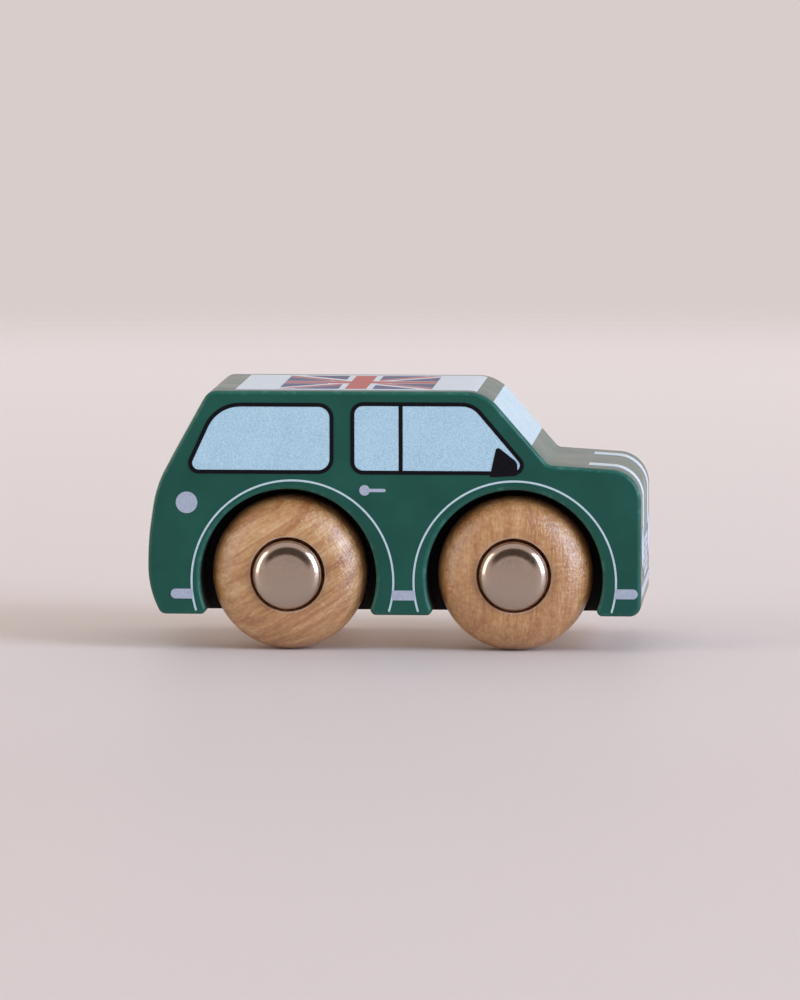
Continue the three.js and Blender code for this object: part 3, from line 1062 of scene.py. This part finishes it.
@dataclass
class TopPrint:
    """What is printed over the top: the roof's white panel and its flag, both screens and the bonnet's stripes.

    The flag is a plain national one: a red cross edged in white, over red and white diagonals on blue.
    """

    block: Block
    edge: float = 16.2
    panel_edge: float = 14.3
    flag_middle: float = -6.15
    flag_length: float = 23.3
    flag_width: float = 25.0
    cross: float = 3.2
    cross_edging: float = 1.0
    saltire: float = 3.6
    saltire_red: float = 1.2
    stripe_middle: float = 9.4
    stripe_width: float = 3.8

    panel_span = ((12.5, 39.6), (-24.3, 39.64))
    screen_span = ((21.0, 31.56), (15.1, 38.16))
    tail_span = ((-28.9, 38.2), (-34.0, 29.2))
    stripe_span = ((37.5, 17.5), (29.3, 28.1))

    def strips(self) -> None:
        """Both screens, the roof's panel and the bonnet's two stripes, which run on down the front."""
        blue, white, girth = Shell(), Shell(), self.block.girth()
        strips = [(blue, ends, 0.0, self.edge) for ends in (self.screen_span, self.tail_span)]
        strips.append((white, self.panel_span, 0.0, self.panel_edge))
        for side in Side:
            strips.append((white, self.stripe_span, side.value * self.stripe_middle, self.stripe_width / 2))
        for shell, ends, middle, half in strips:
            add_strip(shell, girth, [girth.near(*end) for end in ends], (middle - half, middle + half))
        blue.films("screen_print", WINDOW_INK)
        white.films("white_print", WHITE_INK)

    def flag(self) -> None:
        """The flag's blue fields and red crosses, between which the white panel shows.

        In a quarter of the flag, the diagonal runs from the centre to the corner at a slope. A blue field lies on
        each side of it, outside the white: above the line slope times u plus the rise, and below slope times u
        less the rise. The red of the diagonal lies on one side of its middle line, above it in two opposite
        quarters and below it in the others. The upright cross is one half of its outline and that half turned
        round.
        """
        shell, roof = Shell(), self.block.roof_plane()
        a, b = self.flag_length / 2, self.flag_width / 2
        c = self.cross / 2
        w = c + self.cross_edging
        m = b / a
        rise, red = (size * math.hypot(1.0, m) for size in (self.saltire / 2, self.saltire_red))
        fields = (
            ((w, b), (w, m * w + rise), ((b - rise) / m, b)),
            (((w + rise) / m, w), (a, w), (a, b - rise)),
        )
        above = ((w, m * w), (a, b), ((b - red) / m, b), (w, m * w + red))
        below = ((w, w), ((w + red) / m, w), (a, b - red), (a, b), (w, m * w))
        middle = np.array([self.flag_middle, 0.0])
        for u in (1, -1):
            for v in (1, -1):
                turn = np.array([u, v])
                for field in fields:
                    add_slab(shell, roof, middle + np.array(field) * turn, SECOND_COAT, 1)
                add_slab(shell, roof, middle + np.array(above if u == v else below) * turn, SECOND_COAT)
        half = np.array([(a, -c), (a, c), (c, c), (c, b), (-c, b), (-c, c)])
        add_slab(shell, roof, middle + np.concatenate([half, -half]), SECOND_COAT)
        shell.films("flag_print", RED_INK, BLUE_INK)

    def build(self) -> None:
        """Prints the top."""
        self.strips()
        self.flag()


@dataclass
class EndPrint:
    """What is printed on the front and the rear: a grille with two lamps, tail lamps and both bumpers.

    The grille is (half its width, foot, head, corner radius), a tail lamp (inner edge, outer edge, foot, head) and
    a bumper (foot, head).
    """

    block: Block
    grille: tuple[float, float, float, float] = (8.6, 10.6, 16.6, 2.0)
    slats: int = 4
    slat: float = 0.5
    lamp_middle: float = 12.2
    lamp_height: float = 15.6
    lamp_radius: float = 2.9
    lamp_rim: float = 0.4
    bumper: Pair = (8.27, 9.75)
    tail_bumper: Pair = (7.96, 9.46)
    tail_lamp: tuple[float, float, float, float] = (11.0, 14.4, 14.0, 19.0)
    edge: float = 16.0

    def build(self) -> None:
        """Prints the silver, the white lamps, the grey slats and the red tail lamps."""
        nose, girth = self.block.nose_plane(), self.block.girth()
        rear, front = self.block.low[0], self.block.high[0]
        silver, grey, white, red = Shell(), Shell(), Shell(), Shell()
        half, low, high, corner = self.grille
        add_slab(silver, nose, rounded_bar(-half, half, low, high, (corner,) * 4), SECOND_COAT)
        for z in np.linspace(low, high, self.slats + 2)[1:-1]:
            bar = rectangle(corner - half, half - corner, z - self.slat / 2, z + self.slat / 2)
            add_slab(grey, nose, bar, THIRD_COAT)
        inner, outer, foot, head = self.tail_lamp
        for side in Side:
            centre = (side.value * self.lamp_middle, self.lamp_height)
            lamp = arc(centre, self.lamp_radius, 0.0, math.tau - ARC_STEP)
            add_slab(white, nose, lamp.points, SECOND_COAT)
            add_band(silver, nose, lamp.offset(self.lamp_rim), lamp.points, THIRD_COAT, True)
            y_span = sorted((side.value * inner, side.value * outer))
            add_strip(red, girth, (girth.near(rear, head), girth.near(rear, foot)), y_span)
        for x, ends in ((front, self.bumper), (rear, self.tail_bumper)):
            add_strip(silver, girth, sorted(girth.near(x, end) for end in ends), (-self.edge, self.edge))
        silver.films("end_trim_print", TRIM_INK)
        grey.films("grille_print", SLAT_INK)
        white.films("head_lamp_print", WHITE_INK)
        red.films("tail_lamp_print", LAMP_INK)


def lathe(
    profile: np.ndarray,
    centre: np.ndarray,
    side: int,
    closed: bool,
    finish: np.ndarray | None = None,
    edge: np.ndarray | None = None,
) -> Shell:
    """A profile turned about the axle's line.

    A point at radius r and place a along the axle goes to X = r cos t and Z = r sin t round the centre, and to a
    on that side of the car, for t in even steps of a full turn.

    Args:
        profile: The profile's (radius, place along the axle).
        centre: The axle's place.
        side: The sign of Y on that side.
        closed: Whether the profile is a loop; otherwise its ends are on the axle's line.
        finish: The number of the finish from each point of the profile to the next, where there are several.
        edge: How far each point of the profile lies on a rounded edge, where any does.

    Returns:
        The closed shell.
    """
    angle = np.linspace(0.0, math.tau, TURNS, endpoint=False)
    radius, along = profile[:, 0, None], profile[:, 1, None]
    points = np.stack(
        [
            centre[0] + radius * np.cos(angle),
            np.broadcast_to(side * along, (len(profile), TURNS)),
            centre[2] + radius * np.sin(angle),
        ],
        axis=-1,
    )
    shell = Shell()
    shell.add(
        points,
        quads(len(profile), TURNS, closed, True),
        finish=0 if finish is None else np.repeat(finish, TURNS),
        edge=0.0 if edge is None else np.repeat(edge, TURNS),
    )
    return shell


@dataclass
class Wheel:
    """A turned wheel: flat back with a low boss, round tread, domed face, and a recess round the cap."""

    end: End
    side: Side
    cut: GrainCut
    boss_radius: float = 5.0
    boss_height: float = 0.6
    boss_chamfer: float = 0.2
    back_round: float = 1.2
    dome: float = 5.0
    dome_points: int = 28
    land: float = 0.4
    recess_radius: float = 5.65
    recess_depth: float = 2.75
    recess_break: float = 0.25
    lip_steps: int = 5
    bore: float = 2.25

    def profile(self, radius: float, back: float, face: float) -> np.ndarray:
        """The wheel's section, as a loop of (radius, place along the axle).

        The domed face is a quarter of an ellipse from the tread to the flat land round the recess.

        Args:
            radius: The tread's radius.
            back: Where the back lies along the axle.
            face: Where the face lies.

        Returns:
            The loop from the boss round the tread to the recess and the bore.
        """
        rim = self.recess_radius + self.recess_break
        inner = rim + self.land
        quarter = math.pi / 2
        swing = np.linspace(0.0, quarter, self.dome_points)
        dome = np.stack(
            [inner + (radius - inner) * np.cos(swing), face - self.dome + self.dome * np.sin(swing)], axis=1
        )
        turn = (radius - self.back_round, back + self.back_round)
        heel = arc(turn, self.back_round, -quarter, 0.0, FINE_STEP)
        lip = arc(
            (rim, face - self.recess_break), self.recess_break, quarter, math.pi, quarter / self.lip_steps
        )
        boss, floor = back - self.boss_height, face - self.recess_depth
        foot = (
            (self.bore, boss),
            (self.boss_radius - self.boss_chamfer, boss),
            (self.boss_radius, boss + self.boss_chamfer),
            (self.boss_radius, back),
        )
        recess = ((self.recess_radius, floor), (self.bore, floor))
        return np.concatenate([foot, heel.points, dome, lip.points, recess])

    def build(self) -> None:
        """Makes the wheel a piece, with its wood at its own angle."""
        node = node_name("wheel", self.end, self.side)
        low, high = box_mm(node)
        centre = (low + high) / 2
        boss, face = sorted(np.abs((low[1], high[1])))
        radius = float(high[2] - low[2]) / 2
        profile = self.profile(radius, boss + self.boss_height, face)
        # The loop ends with the lip's points, the recess's foot and the bore's rim, so that the recess's wall and
        # floor begin at the third and the second point from the end.
        # The recess's wall and floor take finish 1, the lighter beech that is painted light in the shaded gap.
        inside = np.zeros(len(profile), int)
        inside[-3:-1] = 1
        # The lip's points carry the painted highlight that the wood's finish mixes in.
        lip = np.zeros(len(profile))
        lip[-2 - self.lip_steps : -3] = 1.0
        shell = lathe(profile, centre, self.side.value, True, inside, lip)
        wood = TurnedBeech(node_name("turned_beech", self.end, self.side), self.cut, tuple(centre * MM))
        body = f"{self.end.value}_{self.side.name.lower()}_wheel"
        shell.piece(f"{node}_turned", (wood, RECESS_PAINTED_LIGHT), body, "wheel_wood", (node,))


@dataclass
class HubCap:
    """A pressed cap: a crown that is almost flat, a rounded shoulder, a plain wall and a lip turned in."""

    end: End
    side: Side
    wall: float = 0.5
    shoulder: float = 2.3
    shoulder_drop: float = 1.5
    lip: float = 1.1
    crown: float = 0.06
    crown_steps: int = 8
    hem: float = 0.4

    def profile(self, radius: float, base: float, top: float) -> np.ndarray:
        """The cap's section, from the middle of the crown round the lip to the crown's inside.

        The crown falls by the square of the radius, and the shoulder is a quarter of an ellipse outside and
        inside.

        Args:
            radius: The wall's outer radius.
            base: Where the lip lies along the axle.
            top: Where the crown's middle lies.

        Returns:
            The (radius, place along the axle) of each point.
        """
        flat = radius - self.shoulder
        spread = np.linspace(0.0, 1.0, self.crown_steps, endpoint=False)
        edge = top - self.crown
        bend = np.array([flat, edge - self.shoulder_drop])
        quarter = arc((0.0, 0.0), 1.0, math.pi / 2, 0.0, SHOULDER_STEP).points
        crown = np.stack([flat * spread, top - self.crown * spread**2], axis=1)
        outer = bend + quarter * (self.shoulder, self.shoulder_drop)
        inner = bend + quarter[::-1] * (self.shoulder - self.wall, self.shoulder_drop - self.wall)
        hem = arc((radius - self.hem, base + self.hem), self.hem, 0.0, -math.pi / 2, FINE_STEP)
        mouth = radius - self.wall - self.lip
        inside = ((mouth, base), (mouth, base + self.wall), (radius - self.wall, base + self.wall))
        return np.concatenate([crown, outer, hem.points, inside, inner, ((0.0, edge - self.wall),)])

    def build(self) -> None:
        """Makes the cap a piece that turns with its axle."""
        node = node_name("hub_cap", self.end, self.side)
        low, high = box_mm(node)
        base, top = sorted(np.abs((low[1], high[1])))
        radius = float(np.max((high - low)[[0, 2]])) / 2
        shell = lathe(self.profile(radius, base, top), (low + high) / 2, self.side.value, False)
        shell.piece(f"{node}_pressed", (NICKEL,), f"{self.end.value}_axle_unit", "cap_nickel", (node,))


@dataclass
class AxleRod:
    """A drawn steel rod with a small chamfer at each end, and the toothed nuts that grip it."""

    end: End
    chamfer: float = 0.4

    def build(self) -> None:
        """Makes the rod a piece and gives the two nuts on it their steel."""
        node = f"axle_{self.end.value}"
        low, high = box_mm(node)
        reach, radius = float(high[1]), float(high[2] - low[2]) / 2
        half = np.array([(0.0, reach), (radius - self.chamfer, reach), (radius, reach - self.chamfer)])
        shell = lathe(np.concatenate([half, half[::-1] * (1, -1)]), (low + high) / 2, 1, False)
        shell.piece(f"{node}_rod", (AXLE_STEEL,), f"{self.end.value}_axle_unit", "axle_steel", (node,))
        for side in Side:
            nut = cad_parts[node_name("push_nut", self.end, side)]
            nut.data.materials.clear()
            nut.data.materials.append(NUT_STEEL.material())
            LOG.info("%s: keeps its own mesh, in spring steel", nut.name)


@dataclass(frozen=True)
class SoftBox:
    """A soft light: where it hangs, how big it is, how strong, what colour, and whether it shows in reflections.

    A light faces the point that all lights are aimed at, or else straight down.
    """

    name: str
    place: Triple
    size: Pair
    watts: float
    colour: str
    mirrored: bool = True
    downward: bool = False

    def build(self, aim: Vector) -> None:
        """Hangs the light so that it faces a point or the table; the camera doesn't see the light itself."""
        data = bpy.data.lights.new(self.name, "AREA")
        data.shape = "RECTANGLE"
        data.size, data.size_y = self.size
        data.energy = self.watts
        data.color = linear(self.colour)[:3]
        lamp = bpy.data.objects.new(self.name, data)
        lamp.location = self.place
        if not self.downward:
            lamp.rotation_euler = (aim - Vector(self.place)).to_track_quat("-Z", "Y").to_euler()
        lamp.visible_camera = False
        lamp.visible_glossy = self.mirrored
        bpy.context.scene.collection.objects.link(lamp)
        LOG.info("%s: %.4g W", self.name, self.watts)


@dataclass
class Studio:
    """The table, the pale room round it, the soft lights and the camera."""

    aim: Triple = (-0.210, 0.0, 21.580)
    distance: float = 1200.0
    azimuth: float = 3.850
    elevation: float = 5.350
    roll: float = -0.050
    focal_pixels: float = 7805.0
    backdrop_colour: str = "#d9cdcb"
    room_colour: str = "#e4ded9"
    dim_colour: str = "#5a514c"
    dim_way: Triple = (0.0, -0.914, 0.407)
    dim_squeeze: Triple = (0.6, 1.0, 1.0)
    dim_rim: Pair = (0.89, 0.955)

    lights = (
        SoftBox("window_right", (1.70, -0.92, 0.75), (1.05, 1.45), 45.5, "#d4e3ff"),
        SoftBox("window_left", (-1.58, -0.71, 0.50), (0.76, 1.50), 10.0, "#fff5ee"),
        SoftBox("window_behind_left", (-1.75, 1.15, 0.35), (0.80, 0.70), 7.0, "#fff0e4"),
        SoftBox("window_behind_right", (1.75, 1.25, 0.35), (0.80, 0.70), 7.0, "#ffeade"),
        SoftBox("low_light_behind", (0.30, 4.00, 0.50), (3.50, 0.80), 90.0, "#ffe0cc", mirrored=False),
        SoftBox("bounce_below", (0.0, 0.0, 0.0054), (0.064, 0.022), 0.0016, "#ffd8c2", False, downward=True),
    )

    def table(self) -> None:
        """A round table top whose rim fades into the room: a disc of rings at even radii."""
        radius = np.linspace(0.0, TABLE_TOP.radius, TABLE_RINGS)[:, None]
        angle = np.linspace(0.0, math.tau, TABLE_TURNS, endpoint=False)
        flat = np.zeros((TABLE_RINGS, TABLE_TURNS))
        points = np.stack([radius * np.cos(angle), radius * np.sin(angle), flat], axis=-1)
        cells = quads(TABLE_RINGS, TABLE_TURNS, close_columns=True)[:, ::-1]
        mesh = bpy.data.meshes.new("table")
        mesh.from_pydata(points.reshape(-1, 3).tolist(), [], cells.tolist())
        table = bpy.data.objects.new("table", mesh)
        bpy.context.scene.collection.objects.link(table)
        mesh.materials.append(TABLE_TOP.material())
        LOG.info("table: stage")

    def room(self) -> None:
        """A pale room all round, with a dim band over the table on the side that the car's right flank faces.

        The camera, mirrors and glass see the backdrop's plain colour, and diffuse light comes from the room's. For
        every ray but the camera's, dimness grows as the direction, drawn together along X so that the band is
        wider than it is high, comes close to one that points out to the car's right and a little up.
        """
        world = bpy.data.worlds.new("room")
        bpy.context.scene.world = world
        world.use_nodes = True
        tree = world.node_tree
        way = add_node(tree, "TexCoord", output="Generated")
        wide = add_node(tree, "VectorMath", (way, self.dim_squeeze), operation="MULTIPLY")
        wide = add_node(tree, "VectorMath", (wide,), operation="NORMALIZE")
        flank = add_node(tree, "VectorMath", (wide, self.dim_way), "Value", operation="DOT_PRODUCT")
        dim = add_node(tree, "MapRange", (flank, *self.dim_rim, 0.0, 1.0), interpolation_type="SMOOTHSTEP")
        camera, *others = (
            add_node(tree, "LightPath", output=ray)
            for ray in ("Is Camera Ray", "Is Glossy Ray", "Is Transmission Ray")
        )
        seen = camera
        for ray in others:
            seen = add_node(tree, "Math", (seen, ray), operation="MAXIMUM")
        colour = linear(self.room_colour)
        for share, tint in (
            (seen, self.backdrop_colour),
            (dim, self.dim_colour),
            (camera, self.backdrop_colour),
        ):
            colour = add_node(tree, "Mix", {0: share, 6: colour, 7: linear(tint)}, 2, data_type="RGBA")
        set_inputs(tree, tree.nodes["Background"], {"Color": colour})

    def camera(self) -> None:
        """A long lens on the car's right side, a little ahead of it and above it.

        The camera stands at the aim plus the distance times the direction of its azimuth and elevation. Its right
        and up axes are turned by the roll about the line of sight.
        """
        turn, lift, roll = map(math.radians, (self.azimuth, self.elevation, self.roll))
        back = np.array([math.sin(turn) * math.cos(lift), -math.cos(turn) * math.cos(lift), math.sin(lift)])
        level = np.array([math.cos(turn), math.sin(turn), 0.0])
        above = np.cross(back, level)
        right = math.cos(roll) * level + math.sin(roll) * above
        up = math.cos(roll) * above - math.sin(roll) * level
        data = bpy.data.cameras.new("camera")
        data.sensor_width = SENSOR
        data.lens = self.focal_pixels * SENSOR / IMAGE_HEIGHT
        data.clip_end = CLIP_END
        camera = bpy.data.objects.new("camera", data)
        place = Matrix(np.stack([right, up, back], axis=1).tolist()).to_4x4()
        place.translation = (np.array(self.aim) + self.distance * back) * MM
        camera.matrix_world = place
        bpy.context.scene.collection.objects.link(camera)
        bpy.context.scene.camera = camera

    def build(self) -> None:
        """Sets the camera, the table, the room and the lights."""
        bpy.context.scene.view_settings.view_transform = "Standard"
        self.camera()
        self.table()
        self.room()
        for light in self.lights:
            light.build(Vector(self.aim) * MM)


def main() -> None:
    """Builds the studio and the car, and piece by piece."""
    logging.basicConfig(level=logging.INFO, format="%(name)s %(message)s")
    Studio().build()
    block = Block()
    block.build()
    for side in Side:
        SidePrint(block, side).build()
    TopPrint(block).build()
    EndPrint(block).build()
    cuts = {
        (End.REAR, Side.RIGHT): GrainCut(32.0, bands=0.8, line_mm=2.6, lines=0.5, rays=0.04),
        (End.FRONT, Side.RIGHT): GrainCut(88.0, bands=0.45, line_mm=1.5, lines=0.35, rays=0.25, shade=0.04),
        (End.REAR, Side.LEFT): GrainCut(62.0, bands=0.7, line_mm=2.2, lines=0.4, rays=0.04),
        (End.FRONT, Side.LEFT): GrainCut(-15.0, bands=0.9, line_mm=2.4, lines=0.3, rays=0.04),
    }
    for (end, side), cut in cuts.items():
        Wheel(end, side, cut).build()
        HubCap(end, side).build()
    for end in End:
        AxleRod(end).build()


if __name__ == "__main__":
    main()
